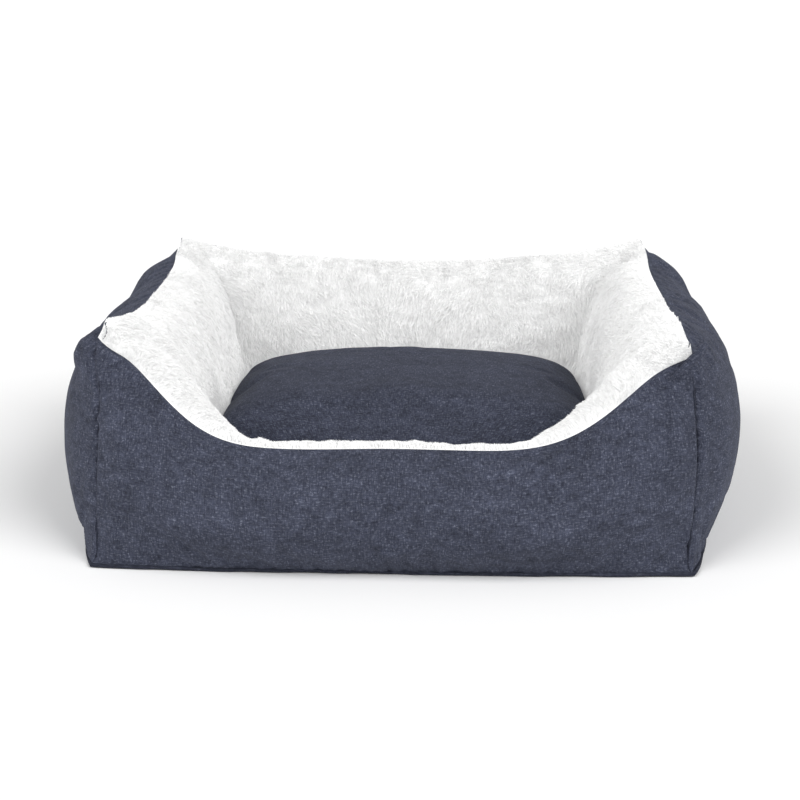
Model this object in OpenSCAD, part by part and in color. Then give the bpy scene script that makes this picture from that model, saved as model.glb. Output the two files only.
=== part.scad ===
// Pet cushion bed: four stuffed walls round a nest, a padded base and a loose cushion.
// Units are millimetres, +Z is up and the origin is at the middle of the underside.
// The low entry side faces -Y and the long side runs along X.

/* [Walls] */
// Distance between the corner tips along the length
corner_length = 512; // [440:1:620]
// Distance between the corner tips from front to back
corner_depth = 386; // [330:1:470]
// Height of the four corner tips
corner_height = 220; // [185:1:265]
// Height of the side walls' ridge at mid length
side_height = 203; // [175:1:245]
// Height of the back wall's ridge at mid length
back_height = 192; // [165:1:235]
// Height of the front wall's ridge in the entry dip
entry_height = 108; // [90:1:135]
// Flat length of the entry dip
entry_length = 256; // [200:1:310]
// How far each wall swells out past the line between the corner tips
wall_belly = 82; // [60:1:100]
// Length of the nest's floor between the side walls
nest_length = 344; // [280:1:380]
// Depth of the nest's floor between the front and back walls
nest_depth = 272; // [225:1:300]

/* [Fabrics] */
// Thickness of the outer fabric
outer_fabric = 1.2; // [0.8:0.1:2]
// Thickness of the long-pile lining, pile included
lining_thickness = 8; // [5:0.5:12]
// Thickness of the coated fabric under the base
underside_fabric = 2; // [1:0.1:3]
// Width of the seam allowance inside each corner
seam_allowance = 10; // [6:1:14]
// Width of the bound edge that stands out round the base
base_welt = 2; // [1:0.5:4]

/* [Base] */
// Thickness of the padding in the nest's floor
base_padding_height = 10; // [6:1:16]
// Thickness of the fabric on the nest's floor
floor_fabric = 1.2; // [0.8:0.1:2]

/* [Cushion] */
// Thickness of the loose cushion at its crown
cushion_height = 108; // [80:1:130]
// Thickness of the cushion's cover fabric
cover_fabric = 1.2; // [0.8:0.1:2]
// Room between the cushion's widest line and the nest on each side
cushion_room = 2.5; // [2:0.5:5]

/* [Zip] */
// Length of the row of zip teeth
zip_length = 216; // [160:4:240]
// Distance from one zip tooth to the next on the same tape
tooth_pitch = 4; // [3:0.5:5]
// Width of each zip tape
tape_width = 11; // [8:1:14]
// Length of the zip's slider
slider_length = 9; // [7:1:12]

/* [Label] */
// Width of the blank label in the back seam
label_width = 30; // [20:1:40]
// Length of the label outside the seam
label_length = 14; // [10:1:18]

/* [Hidden] */

denim = [0.27, 0.29, 0.36];
denim_dark = [0.21, 0.22, 0.28];
plush_white = [0.95, 0.95, 0.94];
fibre_white = [0.88, 0.88, 0.86];
coated_black = [0.12, 0.12, 0.13];
zip_blue = [0.16, 0.18, 0.25];
zip_metal = [0.35, 0.36, 0.38];

fit_gap = 0.3;                       // room between layers that lie on each other
wall_steps = 16;                     // stations along a wall
curve_steps = 8;                     // points along each half of a wall's section
half_length = corner_length / 2;
half_depth = corner_depth / 2;
floor_z = underside_fabric + fit_gap;
corner_slope = 0.69;                 // plan slope of the mitre planes in the corners
corner_foot = 16;                    // how far a corner's foot stands out past its tip
corner_nest = 73;                    // how far the nest's corner lies inside the tip
side_nest = half_length - nest_length / 2;
end_nest = half_depth - nest_depth / 2;

// ---- Curves -------------------------------------------------------------

function bezier(p, u) =
  pow(1 - u, 3) * p[0] + 3 * u * pow(1 - u, 2) * p[1] + 3 * u * u * (1 - u) * p[2] + pow(u, 3) * p[3];
function bezier_slope(p, u) =
  pow(1 - u, 2) * (p[1] - p[0]) + 2 * u * (1 - u) * (p[2] - p[1]) + u * u * (p[3] - p[2]);
function unit(v) = v / norm(v);
function smooth(t) = t * t * (3 - 2 * t);

// Control points, each [outwards from the line between the corner tips, height].
// The outer half runs from the foot up to the ridge seam, the inner half from there to the floor.
function outer_curve(foot, belly, seam, height, fullness) =
  [[foot, floor_z], [belly, 0.26 * height], [belly, fullness * height], [seam, height]];
function inner_curve(seam, lip, nest, height) =
  [[seam, height], [seam - lip, height + 2], [6 - nest, 0.68 * height], [-nest, floor_z]];

corner_outer = [[corner_foot, floor_z], [13, 0.33 * corner_height], [9, 0.68 * corner_height],
                [0, corner_height]];
corner_inner = [[0, corner_height], [-45, 0.92 * corner_height], [3 - corner_nest, 0.68 * corner_height],
                [-corner_nest, floor_z]];

// A wall is [tip line out, plan slope out, half length, plan slope along, outer, inner, has a dip].
side_wall = [half_length, 1, half_depth, corner_slope,
             outer_curve(32, wall_belly, -13, side_height, 0.9),
             inner_curve(-13, 38, side_nest, side_height), false];
back_wall = [half_depth, corner_slope, half_length, 1,
             outer_curve(38, wall_belly - 5, 15, back_height, 0.78),
             inner_curve(15, 36, end_nest, back_height), false];
front_wall = [half_depth, corner_slope, half_length, 1,
              outer_curve(36, wall_belly - 5, 20, entry_height, 0.9),
              inner_curve(20, 28, end_nest, entry_height), true];

// Unit vector from the ridge seam into the wall, halfway between the two halves' tangents
function seam_inward(outer, inner) = unit(unit(outer[2] - outer[3]) + unit(inner[1] - inner[0]));

// Point on one half's curve, moved into the wall by depth; side is 1 outside and 0 inside
function layer_point(outer, inner, side, u, depth) =
  let (
    p = side == 1 ? outer : inner,
    t = unit(bezier_slope(p, u)),
    n = [-t[1], t[0]],
    near = side == 1 ? pow(u, 6) : pow(1 - u, 6)
  )
  bezier(p, u) + depth * unit((1 - near) * n + near * seam_inward(outer, inner));

// Share of the mid section outwards at station s
function swell(s, side, u) = 1 - pow(abs(s), side == 1 ? 2.6 + 1.4 * (1 - pow(u, 3)) : 2.6);

// Share of the mid section's height at station s
tip_rise = 0.21;
function level(w, s) = w[6]
  ? let (r = max(0, (abs(s) * w[2] - entry_length / 2) / (w[2] - entry_length / 2)))
    1 - (1 - tip_rise) * smooth(pow(r, 1.3)) - tip_rise * pow(r, 14)
  : 1 - pow(abs(s), 2.4);

// Point of a wall that faces -Y; the two ends lie in the mitre planes
function wall_point(w, s, side, u, depth) =
  let (
    c = layer_point(corner_outer, corner_inner, side, u, depth),
    m = layer_point(w[4], w[5], side, u, depth),
    out = (w[0] + w[1] * c[0]) * (1 - swell(s, side, u)) + (w[0] + m[0]) * swell(s, side, u),
    z = c[1] * (1 - level(w, s)) + m[1] * level(w, s)
  )
  [s * (w[2] + w[3] * c[0]), -out, max(z, floor_z)];

stations = [for (i = [0 : wall_steps]) 2 * i / wall_steps - 1];
curve_us = [for (j = [0 : curve_steps]) j / curve_steps];

function layer_grid(w, side, depth) =
  [for (s = stations) [for (u = curve_us) wall_point(w, s, side, u, depth)]];

// ---- Solids from grids of points ----------------------------------------

// Two triangles for the cell at row i, column j of a grid that has n columns
function cell(i, j, n, first, flip) =
  let (a = first + i * n + j, b = a + 1, c = a + n + 1, d = a + n)
  flip ? [[a, c, b], [a, d, c]] : [[a, b, c], [a, c, d]];

// Two triangles that join edge a-b of the front grid to the same edge of the back grid
function edge_cell(a, b, shift) = [[a, b + shift, b], [a, a + shift, b + shift]];

// Closed solid between two grids of the same size
module sheet_solid(front, back) {
  rows = len(front);
  cols = len(front[0]);
  count = rows * cols;
  points = concat([for (r = front) each r], [for (r = back) each r]);
  faces = concat(
    [for (i = [0 : rows - 2], j = [0 : cols - 2]) each cell(i, j, cols, 0, false)],
    [for (i = [0 : rows - 2], j = [0 : cols - 2]) each cell(i, j, cols, count, true)],
    [for (j = [0 : cols - 2]) each edge_cell(j, j + 1, count)],
    [for (j = [0 : cols - 2]) each edge_cell(count - 1 - j, count - 2 - j, count)],
    [for (i = [0 : rows - 2]) each edge_cell((i + 1) * cols, i * cols, count)],
    [for (i = [0 : rows - 2]) each edge_cell((i + 1) * cols - 1, (i + 2) * cols - 1, count)]
  );
  polyhedron(points, faces);
}

// Closed solid through a list of rings, with flat ends
module ring_solid(rings) {
  n = len(rings[0]);
  last = len(rings) - 1;
  points = [for (r = rings) each r];
  faces = concat(
    [for (i = [0 : last - 1], j = [0 : n - 1])
      let (k = (j + 1) % n, a = i * n + j, b = i * n + k, c = (i + 1) * n + k, d = (i + 1) * n + j)
      each [[a, b, c], [a, c, d]]],
    [[for (j = [n - 1 : -1 : 0]) j]],
    [[for (j = [0 : n - 1]) last * n + j]]
  );
  polyhedron(points, faces);
}

// ---- Wall layers, all drawn facing -Y -----------------------------------

module outer_panel(w) {
  color(denim)
    sheet_solid(layer_grid(w, 1, outer_fabric), layer_grid(w, 1, 0));
}

module lining(w) {
  color(plush_white)
    sheet_solid(layer_grid(w, 0, lining_thickness), layer_grid(w, 0, 0));
}

// The filling stops short of the mitre planes, on the straight lines to the next stations
module wall_filling(w) {
  end_gap = 2;
  step = 2 / wall_steps;
  share = end_gap / (step * w[2]);
  outer_depth = outer_fabric + fit_gap;
  inner_depth = lining_thickness + fit_gap;
  function section(s) = concat(
    [for (j = [0 : curve_steps - 1]) wall_point(w, s, 1, curve_us[j], outer_depth)],
    [for (u = curve_us) wall_point(w, s, 0, u, inner_depth)]
  );
  color(fibre_white)
    ring_solid(concat(
      [(1 - share) * section(-1) + share * section(step - 1)],
      [for (i = [1 : wall_steps - 1]) section(stations[i])],
      [(1 - share) * section(1) + share * section(1 - step)]
    ));
}

// Seam allowance in a mitre plane, at the corner in the +X, -Y quarter
module corner_seam() {
  seam_half = 0.8;
  top_step = curve_steps - 2;
  across = unit([corner_slope, 1]);
  function strip_point(u, depth, offset) =
    let (c = layer_point(corner_outer, corner_inner, 1, u, depth))
    [half_length + c[0] + offset * across[0], -half_depth - corner_slope * c[0] + offset * across[1], c[1]];
  near_depth = outer_fabric + 2 * fit_gap + seam_half / 2;
  far_depth = near_depth + seam_allowance;
  color(denim_dark)
    ring_solid([for (j = [0 : top_step]) let (u = curve_us[j]) [
      strip_point(u, near_depth, seam_half), strip_point(u, far_depth, seam_half),
      strip_point(u, far_depth, -seam_half), strip_point(u, near_depth, -seam_half)
    ]]);
}

// ---- Base ---------------------------------------------------------------

function turn(p, angle) =
  [p[0] * cos(angle) - p[1] * sin(angle), p[0] * sin(angle) + p[1] * cos(angle)];

// Plan outline through the four walls at one place of their sections
function outline(side, u, depth) = [
  for (w = [[front_wall, 0], [side_wall, 90], [back_wall, 180], [side_wall, 270]])
    for (i = [0 : wall_steps - 1]) turn(wall_point(w[0], stations[i], side, u, depth), w[1])
];

module base_underside_panel() {
  color(coated_black)
    linear_extrude(underside_fabric)
      polygon(outline(1, 0, 0));
}

module base_padding() {
  color(fibre_white)
    translate([0, 0, floor_z])
      linear_extrude(base_padding_height)
        polygon(outline(0, 1, -fit_gap));
}

floor_top = floor_z + base_padding_height + fit_gap + floor_fabric;

module base_floor_panel() {
  color(coated_black)
    translate([0, 0, floor_top - floor_fabric])
      linear_extrude(floor_fabric)
        polygon(outline(0, 1, -fit_gap));
}

module base_welt_strip() {
  lift = 0.4;
  color(denim_dark)
    translate([0, 0, lift])
      linear_extrude(underside_fabric - lift)
        difference() {
          polygon(outline(1, 0, -base_welt));
          polygon(outline(1, 0, -0.1));
        }
}

module care_label() {
  lift = 0.5;
  thickness = 0.6;
  side_place = 120;
  back_foot = -wall_point(back_wall, side_place / half_length, 1, 0, 0)[1];
  color(plush_white)
    translate([-side_place - label_width / 2, back_foot + base_welt + 0.5, lift])
      cube([label_width, label_length, thickness]);
}

// ---- Cushion ------------------------------------------------------------

cushion_base = floor_top + fit_gap;
seam_z = cushion_base + 0.42 * cushion_height;
zip_proud = 4.4;                     // how far the closed zip stands out from the cushion
// Half width of the nest between a wall and the middle, at height z
function nest_reach(w, z) =
  w[0] + lookup(z, [for (u = [1 : -0.05 : 0.3]) let (p = bezier(w[5], u)) [p[1], p[0]]]);
cushion_half_length = nest_reach(side_wall, seam_z) - cushion_room;
cushion_half_depth = nest_reach(back_wall, seam_z) - cushion_room - zip_proud;
crown = cushion_base + cushion_height - seam_z;
keel = 1.15 * (seam_z - cushion_base);
plan_power = 7;                      // squareness of the cushion seen from above
side_power = 4;                      // squareness of the cushion seen from the side
around_steps = 44;
up_steps = 6;

function signed_power(v, p) = sign(v) * pow(abs(v), p);

// Point at plan angle a and rise angle e from the seam, depth inside the cover
function cushion_point(a, e, depth) =
  let (
    rim = pow(cos(e), 2 / side_power),
    tall = (e < 0 ? keel : crown) - depth,
    lift = signed_power(sin(e), 2 / side_power) * tall
  )
  [
    (cushion_half_length - depth) * rim * signed_power(cos(a), 2 / plan_power),
    (cushion_half_depth - depth) * rim * signed_power(sin(a), 2 / plan_power),
    max(seam_z + lift, cushion_base + depth)
  ];

around = [for (i = [0 : around_steps - 1]) 360 * (i + 0.5) / around_steps];
function cushion_ring(e, depth) = [for (a = around) cushion_point(a, e, depth)];

// Cover panel from the seam to a small flat at its middle
module cover_panel(sense) {
  rises = [for (i = [0 : up_steps]) sense * (0.4 + 84 * i / up_steps)];
  outside = [for (e = rises) cushion_ring(e, 0)];
  inside = [for (i = [up_steps : -1 : 0]) cushion_ring(rises[i], cover_fabric)];
  color(denim)
    if (sense > 0)
      closed_band(outside, inside);
    else
      closed_band([for (r = outside) [for (i = [len(r) - 1 : -1 : 0]) r[i]]],
                  [for (r = inside) [for (i = [len(r) - 1 : -1 : 0]) r[i]]]);
}

// Cap with an outer skin and an inner skin: rings go up the outside and down the inside
module closed_band(outside, inside) {
  n = len(outside[0]);
  rings = concat(outside, inside);
  total = len(rings);
  top = len(outside) - 1;
  points = [for (r = rings) each r];
  faces = concat(
    [for (i = [0 : total - 1], j = [0 : n - 1])
      if (i != top)
        let (k = (j + 1) % n, m = (i + 1) % total, a = i * n + j, b = i * n + k, c = m * n + k, d = m * n + j)
        each [[a, c, b], [a, d, c]]],
    [[for (j = [n - 1 : -1 : 0]) top * n + j]],
    [[for (j = [0 : n - 1]) (top + 1) * n + j]]
  );
  polyhedron(points, faces);
}

module cushion_top_panel() {
  cover_panel(1);
}

module cushion_bottom_panel() {
  cover_panel(-1);
}

module cushion_filling() {
  depth = cover_fabric + fit_gap;
  rises = [for (i = [-up_steps : up_steps]) 84 * i / up_steps];
  color(fibre_white)
    ring_solid([for (i = [len(rises) - 1 : -1 : 0]) cushion_ring(rises[i], depth)]);
}

// ---- Zip, on the cushion's back edge ------------------------------------

zip_face = cushion_half_depth;
tape_gap = 0.1;
tape_thickness = 0.6;
tooth_size = [0.55 * tooth_pitch / 2, 1.6, 3.2];
tooth_foot = zip_face + tape_gap + tape_thickness + 0.1;
tooth_count = floor(zip_length / tooth_pitch);

// Back face of the cushion at x and at height above the seam
function back_face(x, rise) =
  let (tall = rise < 0 ? keel : crown)
  cushion_half_depth * pow(
    pow(1 - pow(abs(rise / tall), side_power), plan_power / side_power)
      - pow(abs(x / cushion_half_length), plan_power), 1 / plan_power);

// Each tape's inner edge stays straight behind the teeth and its outer edge lies on the cushion
module zip_tape(sense) {
  inner_edge = 0.6;
  across = 4;
  along = 20;
  tape_half = zip_length / 2 + 8;
  rows = [for (i = [0 : along]) -tape_half + 2 * tape_half * i / along];
  function tape_point(x, share, out) =
    let (rise = sense * (inner_edge + tape_width * share))
    [x, (1 - share) * zip_face + share * back_face(x, rise) + tape_gap + out, seam_z + rise];
  lower = [for (x = rows) [for (j = [0 : across]) tape_point(x, j / across, 0)]];
  upper = [for (x = rows) [for (j = [0 : across]) tape_point(x, j / across, tape_thickness)]];
  color(zip_blue)
    if (sense > 0)
      sheet_solid(lower, upper);
    else
      sheet_solid(upper, lower);
}

// One row of teeth; the two rows stand half a pitch apart and cross the middle line
module tooth_row(sense, shift) {
  middle_lap = 0.6;
  low = sense > 0 ? -middle_lap : middle_lap - tooth_size[2];
  color(zip_blue)
    for (i = [0 : tooth_count - 1])
      translate([-zip_length / 2 + i * tooth_pitch + shift, tooth_foot, seam_z + low])
        cube(tooth_size);
}

module zip_end_stops() {
  stop_size = [3, 2.2, 6];
  color(zip_metal)
    for (x = [-zip_length / 2 - stop_size[0] - 1, zip_length / 2 + 1])
      translate([x, tooth_foot, seam_z - stop_size[2] / 2])
        cube(stop_size);
}

module zip_slider() {
  plate = 1.2;
  room = 0.4;
  inner_half = tooth_size[2] - 0.6 + room;
  outer_half = inner_half + plate;
  top = tooth_foot + tooth_size[1] + room;
  color(zip_metal)
    translate([zip_length / 2 - slider_length - 1, 0, seam_z])
      difference() {
        translate([0, tooth_foot, -outer_half])
          cube([slider_length, top + plate - tooth_foot, 2 * outer_half]);
        translate([-1, tooth_foot - 1, -inner_half])
          cube([slider_length + 2, top - tooth_foot + 1, 2 * inner_half]);
      }
}

// ---- Drawing ------------------------------------------------------------

outer_panel(front_wall);  // outer_panel_front
rotate(180) outer_panel(back_wall);  // outer_panel_back
rotate(270) outer_panel(side_wall);  // outer_panel_left
rotate(90) outer_panel(side_wall);  // outer_panel_right
lining(front_wall);  // lining_front
rotate(180) lining(back_wall);  // lining_back
rotate(270) lining(side_wall);  // lining_left
rotate(90) lining(side_wall);  // lining_right
wall_filling(front_wall);  // wall_filling_front
rotate(180) wall_filling(back_wall);  // wall_filling_back
rotate(270) wall_filling(side_wall);  // wall_filling_left
rotate(90) wall_filling(side_wall);  // wall_filling_right
mirror([1, 0, 0]) corner_seam();  // corner_seam_front_left
corner_seam();  // corner_seam_front_right
rotate(180) corner_seam();  // corner_seam_back_left
mirror([0, 1, 0]) corner_seam();  // corner_seam_back_right
base_underside_panel();
base_padding();
base_floor_panel();
base_welt_strip();
care_label();
cushion_top_panel();
cushion_bottom_panel();
cushion_filling();
zip_tape(1);  // zip_tape_upper
zip_tape(-1);  // zip_tape_lower
tooth_row(1, 0);  // zip_teeth_upper
tooth_row(-1, tooth_pitch / 2);  // zip_teeth_lower
zip_end_stops();
zip_slider();
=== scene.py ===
"""Pet cushion bed: stuffed denim-like walls lined with white plush, and a loose zipped cushion."""
import math

import bmesh
import bpy
import numpy as np
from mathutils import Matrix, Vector
from mathutils.kdtree import KDTree


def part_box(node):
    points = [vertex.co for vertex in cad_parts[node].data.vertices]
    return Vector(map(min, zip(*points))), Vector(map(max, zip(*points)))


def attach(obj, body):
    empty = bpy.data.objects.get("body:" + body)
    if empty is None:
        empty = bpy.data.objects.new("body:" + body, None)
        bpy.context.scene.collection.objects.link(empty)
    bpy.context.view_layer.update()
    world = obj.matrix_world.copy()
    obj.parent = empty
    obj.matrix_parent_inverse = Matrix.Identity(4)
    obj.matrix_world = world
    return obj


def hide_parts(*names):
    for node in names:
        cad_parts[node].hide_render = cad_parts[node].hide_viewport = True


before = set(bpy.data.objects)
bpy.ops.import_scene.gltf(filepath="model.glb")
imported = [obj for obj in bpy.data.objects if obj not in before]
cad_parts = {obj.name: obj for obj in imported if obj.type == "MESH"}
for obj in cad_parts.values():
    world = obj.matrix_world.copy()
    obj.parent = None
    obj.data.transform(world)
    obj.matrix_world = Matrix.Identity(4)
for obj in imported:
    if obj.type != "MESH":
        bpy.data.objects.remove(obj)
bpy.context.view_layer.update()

MM = 0.001
rng = np.random.default_rng(7)
scene = bpy.context.scene


# ---- Sizes, in metres, from the frame where it has them ----

def low(node):
    return np.array(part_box(node)[0])


def high(node):
    return np.array(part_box(node)[1])


HALF_LENGTH = high("lining_front")[0]  # corner tips along X
HALF_DEPTH = high("lining_left")[1]  # corner tips along Y
CORNER_HEIGHT = high("lining_left")[2]
FLOOR_Z = low("outer_panel_front")[2]  # where the walls' cloth starts, over the underside panel
NEST_FLOOR = high("base_floor_panel")[2]
LEFT_HEIGHT = 205 * MM  # ridge of each wall at mid length
RIGHT_HEIGHT = 207 * MM
BACK_HEIGHT = 192 * MM
ENTRY_HEIGHT = 111.5 * MM  # ridge of the front wall in the dip
# Each half of the dip: where it starts to rise, where its slope ends, squareness, tip's rise and power
LEFT_DIP = (78 * MM, 239 * MM, 2.2, 0.28, 11.5)
RIGHT_DIP = (60 * MM, 254 * MM, 1.9, 0.15, 12)
BELLY = 74 * MM
LEFT_NEST = 79 * MM
RIGHT_NEST = 71 * MM
END_NEST = 57 * MM
CORNER_NEST = 73 * MM
CORNER_SLOPE = 0.69  # plan slope of the mitre planes
FRONT_TOP_SHARE = 0.93  # how far up the corner seam the front panel reaches
FOOT_SQUARE = 19 * MM  # how far the foot's corners stand out past the mitre line
TIP_DROP = 15 * MM  # the right front tip has sunk
TIP_DROP_REACH = 38 * MM

CLOTH_THICKNESS = 1.2 * MM
CUSHION_LOW = low("cushion_bottom_panel")
CUSHION_HIGH = high("cushion_top_panel")
SEAM_Z = high("cushion_bottom_panel")[2]


# ---- Camera ----

CAMERA_PLACE = Vector((0.053, -1.4864, 0.5484))
CAMERA_PITCH = 17.05
CAMERA_YAW = 2.18
SENSOR = 36.0
FOCAL_SHARE = 1530 / 800  # focal length over the picture's width


def add_camera():
    data = bpy.data.cameras.new("camera")
    data.sensor_width = SENSOR
    data.lens = FOCAL_SHARE * SENSOR
    data.clip_end = 200
    camera = bpy.data.objects.new("camera", data)
    scene.collection.objects.link(camera)
    camera.location = CAMERA_PLACE
    camera.rotation_euler = (math.radians(90 - CAMERA_PITCH), 0, math.radians(CAMERA_YAW))
    scene.camera = camera


# ---- Noise and small tools ----

def hashed(ix, iy, iz, seed):
    h = (ix * 374761393 + iy * 668265263 + iz * 2147483647 + seed * 974634777) & 0xFFFFFFFF
    h = ((h ^ (h >> 13)) * 1274126177) & 0xFFFFFFFF
    h = ((h ^ (h >> 16)) * 2246822519) & 0xFFFFFFFF
    return (h ^ (h >> 15)) / 0xFFFFFFFF * 2 - 1


def soft_noise(points, size, seed):
    """Smooth noise from -1 to 1 at each point, with features about size metres across."""
    p = np.asarray(points) / size + 1000.0
    cell = np.floor(p).astype(np.int64)
    f = p - cell
    f = f * f * (3 - 2 * f)
    total = 0.0
    for dx in (0, 1):
        for dy in (0, 1):
            for dz in (0, 1):
                weight = ((f[..., 0] if dx else 1 - f[..., 0]) * (f[..., 1] if dy else 1 - f[..., 1])
                          * (f[..., 2] if dz else 1 - f[..., 2]))
                total = total + weight * hashed(cell[..., 0] + dx, cell[..., 1] + dy, cell[..., 2] + dz, seed)
    return total


def unit(v):
    return v / np.maximum(np.linalg.norm(v, axis=-1, keepdims=True), 1e-12)


def smooth(t):
    t = np.clip(t, 0, 1)
    return t * t * (3 - 2 * t)


def grid_faces(rows, cols):
    i, j = np.meshgrid(np.arange(rows - 1), np.arange(cols - 1), indexing="ij")
    a = (i * cols + j).ravel()
    return np.stack([a, a + cols, a + cols + 1, a + 1], axis=1)


def grid_normals(points):
    along = np.gradient(points, axis=0)
    up = np.gradient(points, axis=1)
    return unit(np.cross(along, up))


def new_piece(name, points, faces, material, body, slot, cloth=None):
    """A mesh piece from numpy arrays; cloth is each point's place on the flat cloth, in metres."""
    mesh = bpy.data.meshes.new(name)
    mesh.from_pydata(np.asarray(points).reshape(-1, 3).tolist(), [], [tuple(map(int, f)) for f in faces])
    mesh.shade_smooth()
    piece = bpy.data.objects.new(name, mesh)
    scene.collection.objects.link(piece)
    mesh.materials.append(material)
    if cloth is not None:
        layer = mesh.attributes.new("cloth", "FLOAT_VECTOR", "POINT")
        layer.data.foreach_set("vector", np.asarray(cloth, dtype=np.float32).ravel())
    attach(piece, body)
    return piece


def thicken(piece, thickness, offset=-1):
    modifier = piece.modifiers.new("thickness", "SOLIDIFY")
    modifier.thickness = thickness
    modifier.offset = offset


def subdivide(piece):
    modifier = piece.modifiers.new("smooth", "SUBSURF")
    modifier.levels = modifier.render_levels = 1


def read_points(mesh):
    flat = np.empty(len(mesh.vertices) * 3)
    mesh.vertices.foreach_get("co", flat)
    return flat.reshape(-1, 3)


def mesh_area(piece):
    piece.data.calc_loop_triangles()
    p = read_points(piece.data)
    t = np.array([tri.vertices[:] for tri in piece.data.loop_triangles])
    return np.linalg.norm(np.cross(p[t[:, 1]] - p[t[:, 0]], p[t[:, 2]] - p[t[:, 0]]), axis=1).sum() / 2


# ---- Materials ----

def new_material(name):
    material = bpy.data.materials.new(name)
    material.use_nodes = True
    return material, material.node_tree, material.node_tree.nodes["Principled BSDF"]


def feed(tree, node, values):
    """Links a node's inputs, by name or number, to other nodes' outputs, or sets them to values."""
    for key, value in values.items():
        socket = node.inputs[key]
        if isinstance(value, bpy.types.NodeSocket):
            tree.links.new(value, socket)
        elif socket.type == "RGBA":
            socket.default_value = (*value, 1.0)
        else:
            socket.default_value = value


def add(tree, kind, values=None, **settings):
    """Adds a node and returns its outputs."""
    node = tree.nodes.new(kind)
    for key, value in settings.items():
        setattr(node, key, value)
    feed(tree, node, values or {})
    return node.outputs


def maths(tree, operation, a, b=0.5, c=0.0):
    return add(tree, "ShaderNodeMath", {0: a, 1: b, 2: c}, operation=operation)[0]


MIX_SHARE, MIX_FIRST, MIX_SECOND, MIX_RESULT = 0, 6, 7, 2  # a colour mix node's sockets


def mix_colour(tree, share, first, second, blend="MIX"):
    values = {MIX_SHARE: share, MIX_FIRST: first, MIX_SECOND: second}
    return add(tree, "ShaderNodeMix", values, data_type="RGBA", blend_type=blend)[MIX_RESULT]


def stretched_noise(tree, vector, scale, stretch, detail, roughness):
    mapped = add(tree, "ShaderNodeMapping", {"Vector": vector, "Scale": stretch})[0]
    values = {"Vector": mapped, "Scale": scale, "Detail": detail, "Roughness": roughness}
    return add(tree, "ShaderNodeTexNoise", values)["Fac"]


def ramp(tree, value, low_at, high_at):
    """0 up to low_at, 1 from high_at."""
    return add(tree, "ShaderNodeMapRange", {"Value": value, "From Min": low_at, "From Max": high_at},
               clamp=True)[0]


def relief(tree, height, strength, depth):
    return add(tree, "ShaderNodeBump", {"Height": height, "Strength": strength, "Distance": depth})[0]


def object_place(tree):
    return add(tree, "ShaderNodeTexCoord")["Object"]


EVEN = (1.0, 1.0, 1.0)
RIB_PITCH = 1.5 * MM
RIB_SLANT = 0.8
SPECK_SHARE = 0.78  # how much of a slub's own tone shows
# Noise along the cloth: features per metre, stretch, detail and roughness
WARP = (900, (1.0, 0.16, 1.0), 2.0, 0.6)
WEFT = (800, (0.14, 1.0, 1.0), 2.0, 0.6)
SLUB = (620, (0.55, 1.0, 1.0), 3.0, 0.7)
MOTTLE = (110, (0.7, 1.0, 1.0), 4.0, 0.65)
BROAD = (22, (0.7, 1.2, 1.0), 2.0, 0.5)


def twill(name, dark, base, light):
    """Heathered twill: yarn streaks both ways, a fine diagonal rib, pale slubs and soft wear."""
    material, tree, shader = new_material(name)
    cloth = add(tree, "ShaderNodeAttribute", attribute_name="cloth")["Vector"]
    across, up = add(tree, "ShaderNodeSeparateXYZ", {0: cloth})[:2]
    diagonal = maths(tree, "ADD", across, maths(tree, "MULTIPLY", up, RIB_SLANT))
    rib = maths(tree, "SINE", maths(tree, "MULTIPLY", diagonal, 2 * math.pi / RIB_PITCH))
    rib = maths(tree, "MULTIPLY_ADD", rib, 0.5, 0.5)
    warp, weft, slub, mottle, broad = (stretched_noise(tree, cloth, *noise)
                                       for noise in (WARP, WEFT, SLUB, MOTTLE, BROAD))
    yarn = maths(tree, "ADD", maths(tree, "MULTIPLY", warp, 0.5), maths(tree, "MULTIPLY", weft, 0.5))
    yarn = ramp(tree, yarn, 0.36, 0.66)
    tone = maths(tree, "MULTIPLY_ADD", rib, 0.22, maths(tree, "MULTIPLY", yarn, 0.78))
    speck = maths(tree, "MULTIPLY", ramp(tree, slub, 0.50, 0.70), ramp(tree, warp, 0.35, 0.65))
    colour = mix_colour(tree, maths(tree, "MULTIPLY", speck, SPECK_SHARE),
                        mix_colour(tree, tone, dark, base), light)
    shade = maths(tree, "MULTIPLY_ADD", mottle, 1.35, maths(tree, "MULTIPLY_ADD", broad, 0.65, -0.02))
    grey = add(tree, "ShaderNodeCombineColor", {0: shade, 1: shade, 2: shade})[0]
    height = maths(tree, "ADD", maths(tree, "MULTIPLY", rib, 0.5), yarn)
    feed(tree, shader, {
        "Base Color": mix_colour(tree, 1.0, colour, grey, "MULTIPLY"),
        "Roughness": maths(tree, "MULTIPLY_ADD", yarn, 0.12, 0.80),
        "Normal": relief(tree, height, 0.35, 0.4 * MM),
        "Sheen Weight": 0.03, "Sheen Roughness": 0.6, "Sheen Tint": (0.75, 0.8, 1.0),
        "Specular IOR Level": 0.15})
    return material


PAINTED_PLUSH_GLOW = {"Emission Color": (1, 1, 1), "Emission Strength": 0.07}  # painted glow: emission that stands in for light passed on inside the pile


def fibre(name, grey):
    """One strand of the pile."""
    material, tree, shader = new_material(name)
    feed(tree, shader, {"Base Color": (grey, grey, grey * 0.998), "Roughness": 0.9,
                        "Specular IOR Level": 0.1, **PAINTED_PLUSH_GLOW})
    return material


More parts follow.
